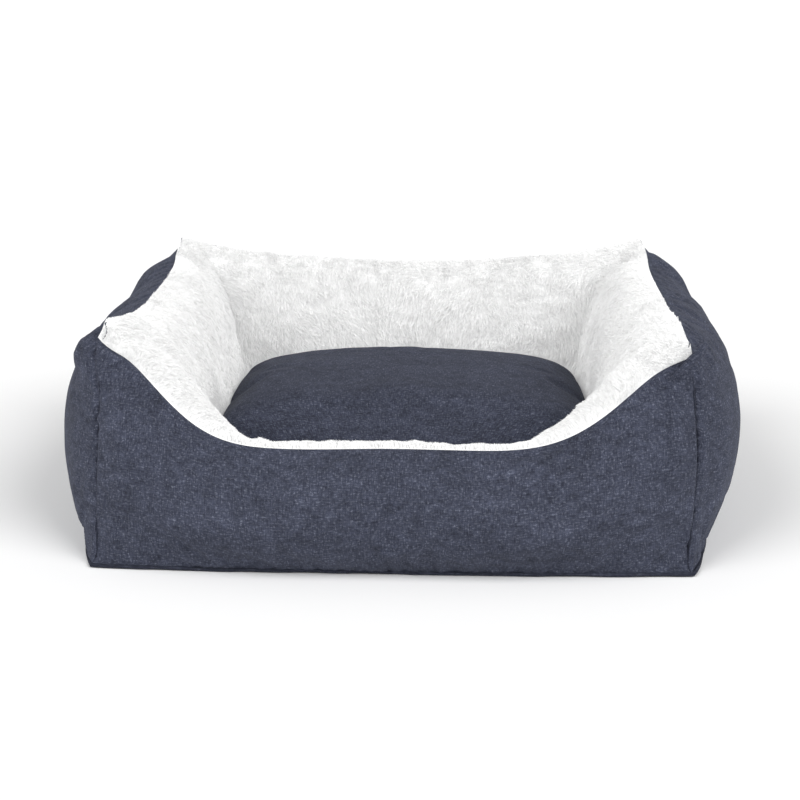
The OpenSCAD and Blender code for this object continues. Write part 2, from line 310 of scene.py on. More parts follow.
def woven(name, first, second, pitch, roughness, bump):
    """Plain weave or knit with two tones and slight unevenness."""
    material, tree, shader = new_material(name)
    place = object_place(tree)
    x, y, z = add(tree, "ShaderNodeSeparateXYZ", {0: place})[:3]
    turn = 2 * math.pi / pitch
    along = maths(tree, "SINE", maths(tree, "MULTIPLY", x, turn))
    cross = maths(tree, "SINE", maths(tree, "MULTIPLY", maths(tree, "ADD", y, z), turn))
    weave = maths(tree, "MULTIPLY_ADD", maths(tree, "MULTIPLY", along, cross), 0.5, 0.5)
    noise = stretched_noise(tree, place, 60, EVEN, 4.0, 0.6)
    tone = maths(tree, "MULTIPLY_ADD", weave, 0.5, maths(tree, "MULTIPLY", noise, 0.5))
    feed(tree, shader, {
        "Base Color": mix_colour(tree, tone, first, second),
        "Roughness": maths(tree, "MULTIPLY_ADD", noise, 0.15, roughness - 0.08),
        "Normal": relief(tree, weave, bump, 0.3 * MM), "Specular IOR Level": 0.2})
    return material


def plush_backing():
    """The lining's own surface under the pile: white, mottled where the pile parts."""
    material, tree, shader = new_material("plush_backing")
    place = object_place(tree)
    tufts = stretched_noise(tree, place, 160, (1.0, 1.0, 0.6), 4.0, 0.7)
    broad = stretched_noise(tree, place, 25, EVEN, 3.0, 0.5)
    tone = maths(tree, "MULTIPLY_ADD", tufts, 0.7, maths(tree, "MULTIPLY", broad, 0.3))
    feed(tree, shader, {
        "Base Color": mix_colour(tree, ramp(tree, tone, 0.35, 0.65), (0.84,) * 3, (0.92,) * 3),
        "Normal": relief(tree, tufts, 0.6, 2 * MM), "Roughness": 0.95, **PAINTED_PLUSH_GLOW})
    return material


DOT_PITCH = 12 * MM
DOT_RADIUS = 2.0 * MM
DOT_EDGE = 0.4 * MM


def grip_cloth():
    """Dark coated cloth with a grid of small rubber dots."""
    material, tree, shader = new_material("grip_cloth")
    place = object_place(tree)
    squares = [maths(tree, "POWER", maths(tree, "PINGPONG", output, DOT_PITCH / 2), 2.0)
               for output in add(tree, "ShaderNodeSeparateXYZ", {0: place})[:2]]
    distance = maths(tree, "SQRT", maths(tree, "ADD", *squares))
    dot = maths(tree, "SUBTRACT", 1.0, ramp(tree, distance, DOT_RADIUS, DOT_RADIUS + DOT_EDGE))
    noise = stretched_noise(tree, place, 300, EVEN, 4.0, 0.6)
    ground = mix_colour(tree, noise, (0.016, 0.017, 0.02), (0.035, 0.036, 0.042))
    feed(tree, shader, {
        "Base Color": mix_colour(tree, dot, ground, (0.01, 0.01, 0.011)),
        "Roughness": maths(tree, "MULTIPLY_ADD", dot, -0.3, 0.85),
        "Normal": relief(tree, maths(tree, "MULTIPLY_ADD", noise, 0.15, dot), 0.6, 0.8 * MM)})
    return material


def dark_metal():
    material, tree, shader = new_material("dark_metal")
    noise = stretched_noise(tree, object_place(tree), 700, EVEN, 3.0, 0.6)
    feed(tree, shader, {"Base Color": mix_colour(tree, noise, (0.16, 0.165, 0.18), (0.26, 0.265, 0.28)),
                        "Roughness": maths(tree, "MULTIPLY_ADD", noise, 0.2, 0.3), "Metallic": 1.0})
    return material


DENIM = twill("denim", (0.016, 0.018, 0.030), (0.060, 0.067, 0.099), (0.20, 0.215, 0.27))
# Darker copy of the denim for the cushion: painted shade for where it sits down in the nest
CUSHION_DENIM_PAINTED_SHADE = twill("denim_cushion_painted_shade", (0.014, 0.016, 0.027), (0.053, 0.059, 0.088), (0.18, 0.194, 0.245))
DENIM_EDGE = twill("denim_edge", (0.010, 0.011, 0.019), (0.032, 0.036, 0.055), (0.10, 0.108, 0.14))
BACKING = plush_backing()
FIBRE = woven("fibre_fill", (0.66, 0.66, 0.64), (0.84, 0.84, 0.82), 3 * MM, 0.95, 0.5)
GRIP = grip_cloth()
LABEL = woven("label_satin", (0.7, 0.7, 0.68), (0.88, 0.88, 0.86), 0.5 * MM, 0.45, 0.15)
TAPE = woven("zip_tape_weave", (0.02, 0.023, 0.04), (0.05, 0.055, 0.085), 0.8 * MM, 0.8, 0.4)
METAL = dark_metal()
PILE = [fibre(f"pile_{k}", grey) for k, grey in enumerate((0.895, 0.92, 0.945))]


# ---- The walls' shape ----

def bezier(points, u):
    p = [np.array(q) for q in points]
    u = u[:, None]
    return (1 - u) ** 3 * p[0] + 3 * u * (1 - u) ** 2 * p[1] + 3 * u * u * (1 - u) * p[2] + u ** 3 * p[3]


def outer_curve(foot, belly, seam, height, fullness):
    return [(foot * MM, FLOOR_Z), (belly, 0.23 * height), (belly, fullness * height), (seam * MM, height)]


def inner_curve(seam, lip, nest, height):
    return [(seam * MM, height), ((seam - lip) * MM, height + 2 * MM), (6 * MM - nest, 0.68 * height),
            (-nest, FLOOR_Z)]


CORNER_OUTER = [(17 * MM, FLOOR_Z), (16 * MM, 0.27 * CORNER_HEIGHT), (12 * MM, 0.73 * CORNER_HEIGHT),
                (0, CORNER_HEIGHT)]
CORNER_INNER = [(0, CORNER_HEIGHT), (-45 * MM, 0.92 * CORNER_HEIGHT),
                (3 * MM - CORNER_NEST, 0.68 * CORNER_HEIGHT), (-CORNER_NEST, FLOOR_Z)]
TIP_CLIMB = 0.09  # share of a front lining's section that climbs the seam


class Wall:
    """One wall of the bed, made facing -Y and then turned about Z."""

    def __init__(self, name, turn, long_side, outer, inner, dip=False):
        self.name = name
        self.turn = math.radians(turn)
        self.long_side = long_side
        self.out, self.out_slope = (HALF_DEPTH, CORNER_SLOPE) if long_side else (HALF_LENGTH, 1.0)
        self.half, self.half_slope = (HALF_LENGTH, 1.0) if long_side else (HALF_DEPTH, CORNER_SLOPE)
        self.outer = outer
        self.inner = inner
        self.dip = dip
        self.top_share = FRONT_TOP_SHARE if dip else 1.0

    def level(self, s):
        """Share of the mid section's height at station s."""
        if not self.dip:
            return 1 - np.abs(s) ** 2.4
        halves = []
        for start, end, power, rise, tip_power in (LEFT_DIP, RIGHT_DIP):
            r = np.clip((np.abs(s) * self.half - start) / (end - start), 0, 1)
            halves.append(1 - (1 - rise) * smooth(r ** power) - rise * np.abs(s) ** tip_power)
        return np.where(s < 0, *halves)

    def corner(self, outside, us):
        """The section in the mitre plane; a low front lining first runs up the seam to the tip."""
        if outside:
            return bezier(CORNER_OUTER, us * self.top_share)
        if self.top_share == 1:
            return bezier(CORNER_INNER, us)
        climb = bezier(CORNER_OUTER, self.top_share + (1 - self.top_share) * us / TIP_CLIMB)
        fall = bezier(CORNER_INNER, np.maximum(us - TIP_CLIMB, 0) / (1 - TIP_CLIMB))
        return np.where(us[:, None] < TIP_CLIMB, climb, fall)

    def surface(self, outside, stations, us, inset=0.0):
        """Grid of points, stations along the wall by us up (outside) or down (inside)."""
        corner = self.corner(outside, us)
        middle = bezier(self.outer if outside else self.inner, us)
        foot = FOOT_SQUARE * (1 - us) ** 3 if outside else np.zeros_like(us)
        out_foot, along_foot = (foot, 0) if self.long_side else (0, foot)
        s = stations[:, None]
        full_top = 0.0 if self.long_side else 1.8
        power = 2.6 + 1.4 * (1 - us ** 3) + full_top * us ** 3 if outside else np.full_like(us, 2.6)
        swell = 1 - np.abs(s) ** power[None, :]
        level = self.level(s)
        out = ((self.out + self.out_slope * corner[:, 0] + out_foot) * (1 - swell)
               + (self.out + middle[:, 0]) * swell)
        z = corner[:, 1] * (1 - level) + middle[:, 1] * level
        along = s * (self.half + self.half_slope * corner[:, 0] + along_foot)
        points = np.stack([along, -out, z], axis=-1)
        if inset:
            points = points - inset * grid_normals(points)
        return self.turned(points)

    def turned(self, points):
        c, s = math.cos(self.turn), math.sin(self.turn)
        x, y = points[..., 0], points[..., 1]
        return np.stack([c * x - s * y, s * x + c * y, points[..., 2]], axis=-1)


WALLS = [
    Wall("front", 0, True, outer_curve(36, BELLY, 20, ENTRY_HEIGHT, 0.92),
         inner_curve(20, 28, END_NEST, ENTRY_HEIGHT), dip=True),
    Wall("right", 90, False, outer_curve(40, BELLY, -3, RIGHT_HEIGHT, 1.03),
         inner_curve(-3, 44, RIGHT_NEST, RIGHT_HEIGHT)),
    Wall("back", 180, True, outer_curve(38, BELLY, 15, BACK_HEIGHT, 0.78),
         inner_curve(15, 36, END_NEST, BACK_HEIGHT)),
    Wall("left", 270, False, outer_curve(40, BELLY, -10, LEFT_HEIGHT, 0.98),
         inner_curve(-10, 40, LEFT_NEST, LEFT_HEIGHT)),
]


# Where a wall stands out beside a tip: middle, reach in mm and how far out along X.
SHOULDERS = [
    ((-HALF_LENGTH - 22 * MM, -HALF_DEPTH + 18 * MM, CORNER_HEIGHT - 20 * MM), (26, 26, 30), -22 * MM),
    ((-HALF_LENGTH - 26 * MM, HALF_DEPTH - 42 * MM, CORNER_HEIGHT - 26 * MM), (26, 44, 32), -12 * MM),
    ((HALF_LENGTH + 26 * MM, HALF_DEPTH - 42 * MM, CORNER_HEIGHT - 26 * MM), (26, 44, 32), 11 * MM),
]
SHOULDER_LIFT = 2 * MM
TIP_GUARD = 15 * MM  # how far round each tip its shoulder leaves the shape alone
FOOT_TUCK = 8 * MM  # how far the right front foot is drawn in


def slump(points):
    """The uneven set of the real thing, the same for every layer of the walls."""
    x, y, z = points[..., 0], points[..., 1], points[..., 2]
    moved = points.copy()
    right_front = smooth((x - 0.12) / 0.15) * smooth((-y - 0.05) / 0.15)
    moved[..., 0] -= FOOT_TUCK * right_front * smooth((0.12 - z) / 0.12)
    tip = np.array([HALF_LENGTH, -HALF_DEPTH, CORNER_HEIGHT])
    near = np.exp(-np.sum(((points - tip) / TIP_DROP_REACH) ** 2, axis=-1))
    moved[..., 2] -= TIP_DROP * near
    from_tip = np.stack([np.abs(x) - HALF_LENGTH, np.abs(y) - HALF_DEPTH, z - CORNER_HEIGHT], axis=-1)
    free = 1 - np.exp(-np.sum((from_tip / TIP_GUARD) ** 2, axis=-1))
    for middle, reach, out in SHOULDERS:
        shoulder = free * np.exp(-np.sum(((points - middle) / (np.array(reach) * MM)) ** 2, axis=-1))
        moved[..., 0] += out * shoulder
        moved[..., 2] += SHOULDER_LIFT * shoulder
    wave = soft_noise(points, 0.09, 3)
    moved[..., 2] += 2.0 * MM * wave * smooth((z - 0.05) / 0.06)
    return moved


def fold(points, start, end, width, depth):
    """Height of a soft fold that runs from start to end, at each point."""
    a, b = np.array(start), np.array(end)
    along = np.clip(((points - a) @ (b - a)) / np.sum((b - a) ** 2), 0, 1)
    away = np.linalg.norm(points - (a + along[..., None] * (b - a)), axis=-1)
    return depth * np.exp(-(away / width) ** 2) * (0.35 + 0.65 * np.sin(np.pi * np.clip(along, 0.05, 0.95)))


FOLDS = [
    ((0.215, -0.236, 0.060), (0.268, -0.212, 0.020), 6 * MM, -3.0 * MM),
    ((0.200, -0.240, 0.045), (0.255, -0.216, 0.010), 6 * MM, 2.0 * MM),
    ((0.262, -0.205, 0.185), (0.300, -0.150, 0.196), 7 * MM, -3.5 * MM),
    ((0.225, -0.225, 0.178), (0.258, -0.205, 0.186), 5 * MM, -3.0 * MM),
    ((-0.262, -0.200, 0.190), (-0.292, -0.165, 0.165), 7 * MM, -3.0 * MM),
    ((-0.200, -0.245, 0.050), (-0.262, -0.215, 0.018), 8 * MM, 1.8 * MM),
    ((0.304, -0.120, 0.175), (0.330, -0.040, 0.150), 9 * MM, -2.0 * MM),
    ((-0.300, 0.080, 0.175), (-0.318, 0.010, 0.150), 9 * MM, -1.6 * MM),
]


def refine(grid):
    """Twice as fine a grid through the same points, by the four-point rule along each axis."""
    for _ in range(2):
        padded = np.concatenate([2 * grid[:1] - grid[1:2], grid, 2 * grid[-1:] - grid[-2:-1]])
        between = (9 * (padded[1:-2] + padded[2:-1]) - padded[:-3] - padded[3:]) / 16
        fine = np.empty((2 * len(grid) - 1, *grid.shape[1:]))
        fine[::2] = grid
        fine[1::2] = between
        grid = np.swapaxes(fine, 0, 1)
    return grid


def lengths(points, axis):
    """Length along each grid line up to each point."""
    total = np.zeros(points.shape[:2])
    steps = np.cumsum(np.linalg.norm(np.diff(points, axis=axis), axis=2), axis=axis)
    if axis == 0:
        total[1:] = steps
    else:
        total[:, 1:] = steps
    return total


def cloth_places(points):
    """Each grid point's place on its flat panel, from lengths along the surface."""
    along = lengths(points, 0)
    up = lengths(points, 1)
    return np.stack([along - along[len(along) // 2], up, np.zeros_like(up)], axis=-1)


def sheet_from_grid(name, points, material, body, slot, replaced=(), thickness=CLOTH_THICKNESS,
                    offset=-1):
    """A sheet of cloth on a grid of points, given its thickness."""
    piece = new_piece(name, points, grid_faces(*points.shape[:2]), material, body, slot, cloth_places(points))
    if replaced:
        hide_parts(*replaced)
    flat = (float(lengths(points, 0)[-1].max()), float(lengths(points, 1)[:, -1].max()))
    area = min(mesh_area(piece), flat[0] * flat[1])
    thicken(piece, thickness, offset)


# ---- Tubes ----

def ring_faces(rows, cols, closed=False):
    """Faces round a tube of rings: capped at both ends, or with its last ring joined to its first."""
    faces = []
    for i in range(rows if closed else rows - 1):
        a, b = i * cols, (i + 1) % rows * cols
        for j in range(cols):
            k = (j + 1) % cols
            faces.append((a + j, b + j, b + k, a + k))
    if not closed:
        faces += [tuple(range(cols)), tuple(reversed(range((rows - 1) * cols, rows * cols)))]
    return faces


def ring_angles(sides):
    return np.arange(sides) * 2 * math.pi / sides


def rings_round(path, radius, across, other, sides):
    """Rings of points round a path; the directions are given at each point, the radius there or once."""
    angle = ring_angles(sides)[None, :, None]
    radius = np.broadcast_to(radius, len(path))
    return path[:, None] + radius[:, None, None] * (np.cos(angle) * across[:, None]
                                                    + np.sin(angle) * other[:, None])


def tube_places(along, radius, sides):
    """Each point's place on a tube's flat cloth."""
    along, around = np.broadcast_arrays(along[:, None], ring_angles(sides) * radius)
    return np.stack([along, around, 0 * along], axis=-1)


# ---- Cloth simulation ----

SIMULATED = []
SIMULATION_FRAMES = 20
CLOTH_SETTINGS = {
    "quality": 6, "mass": 0.2, "tension_stiffness": 18, "compression_stiffness": 18, "shear_stiffness": 6,
    "tension_damping": 8, "compression_damping": 8, "air_damping": 3, "use_pressure": True,
    "vertex_group_mass": "pins",
}


def simulate_later(points, faces, pins, pressure, grow, cap, bending=0.5):
    """Queues a mesh for the one cloth run; pins is a weight for each point."""
    mesh = bpy.data.meshes.new("simulated")
    mesh.from_pydata(np.asarray(points).reshape(-1, 3).tolist(), [], [tuple(map(int, f)) for f in faces])
    stand_in = bpy.data.objects.new("simulated", mesh)
    scene.collection.objects.link(stand_in)
    entry = {"object": stand_in, "start": read_points(mesh), "cap": cap}
    SIMULATED.append(entry)
    group = stand_in.vertex_groups.new(name="pins")
    for index in np.nonzero(pins > 0)[0]:
        group.add([int(index)], float(pins[index]), "REPLACE")
    cloth = stand_in.modifiers.new("cloth", "CLOTH")
    for key, value in CLOTH_SETTINGS.items():
        setattr(cloth.settings, key, value)
    cloth.settings.bending_stiffness = bending
    cloth.settings.uniform_pressure_force = pressure
    cloth.settings.shrink_min = -grow
    cloth.settings.effector_weights.gravity = 0
    cloth.collision_settings.use_collision = False
    cloth.collision_settings.use_self_collision = False
    cloth.point_cache.frame_start = 1
    cloth.point_cache.frame_end = SIMULATION_FRAMES + 10
    return entry


def run_simulation():
    """Steps all queued cloths together, keeps each one's capped moves and removes the stand-ins."""
    for frame_number in range(1, SIMULATION_FRAMES + 1):
        scene.frame_set(frame_number)
    graph = bpy.context.evaluated_depsgraph_get()
    for entry in SIMULATED:
        shown = entry["object"].evaluated_get(graph)
        move = read_points(shown.to_mesh()) - entry["start"]
        shown.to_mesh_clear()
        length = np.linalg.norm(move, axis=1, keepdims=True)
        move *= np.tanh(length / entry["cap"]) * entry["cap"] / np.maximum(length, 1e-9)
        entry["points"] = entry["start"] + move
    for entry in SIMULATED:
        bpy.data.objects.remove(entry.pop("object"))
    scene.frame_set(1)


# ---- Outer panels, linings and stuffing ----

def even_stations(count):
    """Stations along a wall, closer together towards its two corner seams."""
    t = np.linspace(-1, 1, count)
    return 0.75 * t + 0.25 * np.sin(t * math.pi / 2)


def queue_outer_panel(wall):
    stations = even_stations(121 if wall.long_side else 95)
    points = slump(wall.surface(True, stations, np.linspace(0, 1, 45)))
    pins = np.zeros(points.shape[:2])
    pins[[0, -1], :] = 1
    pins[:, [0, -1]] = 1
    entry = simulate_later(points, grid_faces(*points.shape[:2]), pins.ravel(), 2.5, 0.02, 7 * MM)
    entry["shape"] = points.shape
    return entry


GROOVE_WIDTH = 3.5 * MM
PUCKER_REACH = 14 * MM


def make_outer_panel(wall, entry):
    """The panel's cloth, with its corner seams drawn in, small puckers beside them and soft folds."""
    points = refine(entry["points"].reshape(entry["shape"]))
    normals = grid_normals(points)
    along = lengths(points, 0)
    from_end = np.minimum(along, along[-1] - along)
    up = lengths(points, 1)
    from_rim = np.minimum(up, up[:, -1:] - up)
    rim = smooth(from_rim / 0.02)
    depth = (3.0 + 1.6 * smooth((points[..., 2] - 0.08) / 0.08)) * MM
    groove = -depth * np.exp(-(from_end / GROOVE_WIDTH) ** 2) * smooth(from_rim / 0.008)
    heights = np.stack([0 * points[..., 2], 0 * points[..., 2], points[..., 2]], axis=-1)
    pucker = 1.1 * MM * soft_noise(heights, 0.009, 31 + WALLS.index(wall)) * np.exp(-from_end / PUCKER_REACH)
    ease = 1.4 * MM * soft_noise(points, 0.055, 41) + 0.5 * MM * soft_noise(points, 0.02, 42)
    hem = 0.8 * MM * soft_noise(points * (1, 1, 0.3), 0.012, 43) * np.exp(-points[..., 2] / 0.012)
    away = sum(fold(points, *line) for line in FOLDS)
    free = smooth(from_end / (5 * MM))
    shift = groove + (pucker + ease + away) * free * rim + hem * free
    points = points + shift[..., None] * normals
    points[..., 2] = np.maximum(points[..., 2], FLOOR_Z)
    sheet_from_grid(f"outer_panel_{wall.name}_cloth", points, DENIM, "bed", "denim",
                    [f"outer_panel_{wall.name}"])


def make_lining(wall):
    stations = even_stations(105)
    us = np.linspace(0, 1, 45)
    points = slump(wall.surface(False, stations, us))
    normals = grid_normals(points)
    fade = smooth(np.minimum(us / 0.15, 1))[None, :] * smooth((1 - np.abs(stations)) / 0.1)[:, None]
    waves = 2.5 * soft_noise(points, 0.07, 11) + 1.2 * soft_noise(points, 0.03, 12)
    points = points + normals * (waves * fade * MM)[..., None]
    sheet_from_grid(f"lining_{wall.name}_backing", points, BACKING, "bed", "plush",
                    [f"lining_{wall.name}"])
    return points


def make_stuffing(wall):
    stations = np.linspace(-0.95, 0.95, 41)
    us = np.linspace(0, 1, 17)
    inset = 9 * MM
    ring = slump(np.concatenate([wall.surface(True, stations, us, inset),
                                 wall.surface(False, stations, us, inset)[:, 1:]], axis=1))
    ring += 1.5 * MM * soft_noise(ring, 0.03, 51)[..., None] * unit(ring - ring.mean(axis=1, keepdims=True))
    ring[..., 2] = np.maximum(ring[..., 2], FLOOR_Z + 2 * MM)
    piece = new_piece(f"wall_stuffing_{wall.name}", ring, ring_faces(*ring.shape[:2]), FIBRE, "bed",
                      "fibre_fill")
    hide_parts(f"wall_filling_{wall.name}")


def make_corner_strips():
    """The seam allowance turned inside each corner, behind the panels."""
    us = np.linspace(0.03, 0.86, 24)
    width = 10 * MM
    for wall, corners in ((WALLS[0], ("front_left", "front_right")),
                          (WALLS[2], ("back_right", "back_left"))):
        for station, corner in zip((-1.0, 1.0), corners):
            edge = slump(wall.surface(True, np.array([station]), us))[0]
            inward = unit(-edge * (1, 1, 0))
            depths = np.linspace(3.5 * MM, 3.5 * MM + width, 5)
            points = edge[:, None, :] + depths[None, :, None] * inward[:, None, :]
            ruck = 0.5 * MM * soft_noise(points, 0.012, 61)
            points[..., 0] += ruck
            sheet_from_grid(f"seam_allowance_{corner}", points, DENIM_EDGE, "bed", "denim_edge",
                            [f"corner_seam_{corner}"], thickness=1.6 * MM, offset=0)


TUCK_PATH = [(0.237, -0.208, 0.177), (0.246, -0.208, 0.184), (0.2555, -0.2055, 0.193),
             (0.265, -0.2, 0.200), (0.267, -0.193, 0.206)]
TUCK_RADII = [1.0, 2.6, 4.4, 4.8, 3.0]  # in mm, at the path's points
TUCK_RINGS = 33
TUCK_SIDES = 16
TUCK_CLOSING = 0.86  # where along the roll its end starts to close


def make_corner_tuck():
    """The small roll of cloth that stands out at the right front corner, under the sunken tip."""
    places = np.linspace(0, len(TUCK_PATH) - 1, TUCK_RINGS)
    knots = np.arange(len(TUCK_PATH))
    path = np.stack([np.interp(places, knots, [p[k] for p in TUCK_PATH]) for k in range(3)], axis=1)
    for _ in range(4):
        path[1:-1] = (path[:-2] + 2 * path[1:-1] + path[2:]) / 4
    radius = np.interp(places, knots, TUCK_RADII) * MM
    share = np.linspace(0, 1, TUCK_RINGS)
    closing = ((share - TUCK_CLOSING) / (1 - TUCK_CLOSING)).clip(0, 0.995)
    radius = radius * np.sqrt(1 - closing ** 2)
    ahead = unit(np.gradient(path, axis=0))
    across = unit(np.cross(ahead, (0, 0, 1.0)))
    rings = rings_round(path, radius, across, np.cross(across, ahead), TUCK_SIDES)
    rings += 0.4 * MM * soft_noise(rings, 0.006, 71)[..., None]
    cloth = tube_places(share * 50 * MM, 4 * MM, TUCK_SIDES)
    piece = new_piece("corner_tuck", rings, ring_faces(TUCK_RINGS, TUCK_SIDES), DENIM, "bed", "denim", cloth)
    subdivide(piece)


# ---- Pile ----

def sample_surface(points, count, weight):
    """count random places on a grid surface: position, normal, direction down and share of the way."""
    corner = points[:-1, :-1]
    along = points[1:, :-1] - corner
    up = points[:-1, 1:] - corner
    area = np.linalg.norm(np.cross(along, up), axis=-1) * weight
    share = (area / area.sum()).ravel()
    cell = rng.choice(len(share), count, p=share)
    i, j = np.unravel_index(cell, area.shape)
    a, b = rng.random((2, count, 1))
    place = ((1 - a) * (1 - b) * points[i, j] + a * (1 - b) * points[i + 1, j]
             + (1 - a) * b * points[i, j + 1] + a * b * points[i + 1, j + 1])
    normals = grid_normals(points)
    normal = unit((1 - b) * normals[i, j] + b * normals[i, j + 1])
    down = unit(points[i, j + 1] - points[i, j])
    return place, normal, down, (j[:, None] + b)[:, 0] / (points.shape[1] - 1)


PILE_PARTS = 2  # pieces of pile on each wall
PILE_COUNT = 36000  # strands in each
PILE_LENGTH = 8.5 * MM
PILE_WIDTH = 0.5 * MM
TUFT = 60  # strands that gather towards one leader


def pile_strands(points, count):
    """Tapered ribbons, five points each, that lie over in soft swirls and gather into small tufts."""
    heights = points[:-1, :-1, 2]
    weight = 0.12 + 0.88 * smooth((heights - 0.06) / 0.04)
    root, normal, down, share = sample_surface(points, count, weight)
    side = unit(np.cross(normal, down))
    swirl = np.stack([soft_noise(root, 0.05, seed) + 0.55 * soft_noise(root, 0.018, seed + 1)
                      for seed in (21, 24)], axis=-1)
    jitter = rng.normal(0, 0.22, (count, 2))
    ridge = smooth((0.12 - share) / 0.12)[:, None]
    lean_down = 0.75 + 0.45 * swirl[:, :1] + jitter[:, :1] - 0.25 * ridge
    lean = down * lean_down + side * (0.75 * swirl[:, 1:] + jitter[:, 1:])
    clump = soft_noise(root, 0.011, 27)
    reach = PILE_LENGTH * (0.78 + 0.22 * clump + 0.3 * rng.random(count)) * (1 - 0.25 * ridge[:, 0])
    rise = 0.50 + 0.14 * clump
    tip = root + normal * (rise * reach)[:, None] + lean * (0.75 * reach)[:, None]
    leaders = rng.choice(count, max(1, count // TUFT), replace=False)
    tree = KDTree(len(leaders))
    for k, index in enumerate(leaders):
        tree.insert(root[index], k)
    tree.balance()
    nearest = leaders[np.array([tree.find(p)[1] for p in root])]
    gather = (0.08 + 0.32 * rng.random(count))[:, None]
    tip = tip * (1 - gather) + tip[nearest] * gather
    middle = root * 0.45 + tip * 0.55 + normal * (0.16 * reach)[:, None]
    root = root - normal * 0.6 * MM
    for ends in (middle, tip):
        ends[:, 2] = np.maximum(ends[:, 2], FLOOR_Z + 1 * MM)
    turn = rng.random(count) * 2 * math.pi
    facing = np.cos(turn)[:, None] * side + np.sin(turn)[:, None] * down + 0.3 * normal
    across = unit(np.cross(tip - root, facing))
    half = (0.5 * PILE_WIDTH * (0.7 + 0.6 * rng.random(count)))[:, None] * across
    return np.stack([root - half, root + half, middle - 0.85 * half, middle + 0.85 * half, tip], axis=1)


def make_pile(wall, points, part):
    """One piece of pile: a quad and a triangle for each strand, in slightly different whites."""
    count = PILE_COUNT
    strand = pile_strands(points, count)
    base = np.arange(count)[:, None] * 5
    loops = np.concatenate([base + np.array([[0, 1, 3, 2]]), base + np.array([[2, 3, 4]])], axis=1)
    name = f"pile_{wall.name}_{part}"
    mesh = bpy.data.meshes.new(name)
    mesh.vertices.add(count * 5)
    mesh.loops.add(count * 7)
    mesh.polygons.add(count * 2)
    starts = np.stack([np.arange(count) * 7, np.arange(count) * 7 + 4], axis=1)
    shade = rng.integers(0, len(PILE), count)
    mesh.vertices.foreach_set("co", strand.ravel().astype(np.float32))
    for data, key, values in ((mesh.loops, "vertex_index", loops), (mesh.polygons, "loop_start", starts),
                              (mesh.polygons, "material_index", np.repeat(shade, 2))):
        data.foreach_set(key, values.ravel().astype(np.int32))
    mesh.update(calc_edges=True)
    mesh.shade_smooth()
    for material in PILE:
        mesh.materials.append(material)
    piece = bpy.data.objects.new(name, mesh)
    scene.collection.objects.link(piece)
    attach(piece, "bed")


# ---- Base ----

def outline(outside, u):
    """Closed plan outline through the four walls at one place of their sections."""
    stations = np.linspace(-1, 1, 65)[:-1]
    return np.concatenate([slump(wall.surface(outside, stations, np.array([u])))[:, 0] for wall in WALLS])


def disc(loop, z):
    """A grid of points that fills a closed loop of four equal sides, all at height z."""
    count = len(loop) // 4
    front, right, back, left = (np.roll(loop, -k * count, axis=0)[:count + 1] for k in range(4))
    back, left = back[::-1], left[::-1]
    u = np.linspace(0, 1, count + 1)[:, None, None]
    v = np.linspace(0, 1, count + 1)[None, :, None]
    grid = ((1 - v) * front[:, None] + v * back[:, None] + (1 - u) * left[None] + u * right[None]
            - (1 - u) * ((1 - v) * front[0] + v * back[0]) - u * ((1 - v) * front[-1] + v * back[-1]))
    grid[..., 2] = z
    return grid


def disc_sheet(name, loop, z, material, slot, replaced, thickness, unevenness=0.0):
    grid = disc(loop, z)
    grid[..., 2] += unevenness * soft_noise(grid, 0.06, 81)
    piece = new_piece(name, grid, grid_faces(*grid.shape[:2]), material, "bed", slot, grid.copy())
    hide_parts(replaced)
    area = mesh_area(piece)
    thicken(piece, thickness)


WELT_SIDES = 8
UNDER_WELT = 0.3 * MM  # the base's lowest cloth over the ground


def make_welt(loop):
    """Bound edge along the foot, a soft roll that wanders a little."""
    count = len(loop)
    ahead = unit(np.roll(loop, -1, axis=0) - np.roll(loop, 1, axis=0))
    out = np.stack([ahead[:, 1], -ahead[:, 0], np.zeros(count)], axis=1)
    radius = (1.7 + 0.35 * soft_noise(loop, 0.015, 91)) * MM
    centre = loop + out * (0.9 + 0.5 * soft_noise(loop, 0.03, 92))[:, None] * MM
    centre[:, 2] = 2.3 * MM + 0.5 * MM * soft_noise(loop, 0.025, 93)
    rings = rings_round(centre, radius, out, np.broadcast_to((0, 0, 1.0), out.shape), WELT_SIDES)
    rings[..., 2] = np.maximum(rings[..., 2], UNDER_WELT)
    faces = [(first, *rest[::-1]) for first, *rest in ring_faces(count, WELT_SIDES, closed=True)]
    around = np.cumsum(np.linalg.norm(ahead, axis=1)) * 2 * MM
    piece = new_piece("base_welt", rings, faces, DENIM_EDGE, "bed", "denim_edge",
                      tube_places(around, 2 * MM, WELT_SIDES))
    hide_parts("base_welt_strip")


def make_base():
    foot = outline(True, 0.0)
    make_welt(foot)
    inner = outline(False, 1.0)
    underside_top = high("base_underside_panel")[2]
    disc_sheet("base_underside_cloth", foot, underside_top, GRIP, "coated_cloth", "base_underside_panel",
               underside_top - UNDER_WELT)
    floor_low = low("base_floor_panel")[2]
    disc_sheet("nest_floor_cloth", inner * (0.995, 0.995, 1), NEST_FLOOR, DENIM_EDGE, "coated_cloth",
               "base_floor_panel", NEST_FLOOR - floor_low, 0.4 * MM)
    shares = np.array([0.30, 0.65, 0.93, 0.985, 0.99, 0.985, 0.93, 0.65, 0.30])
    heights = np.array([0.02, 0.02, 0.02, 0.2, 0.5, 0.8, 0.96, 0.96, 0.96])
    depth = floor_low - FLOOR_Z - 0.6 * MM
    rings = shares[:, None, None] * inner[None]
    rings[..., 2] = FLOOR_Z + 0.2 * MM + heights[:, None] * depth
    piece = new_piece("base_padding_quilt", rings, [tuple(reversed(f)) for f in ring_faces(*rings.shape[:2])],
                      FIBRE, "bed", "fibre_fill")
    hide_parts("base_padding")


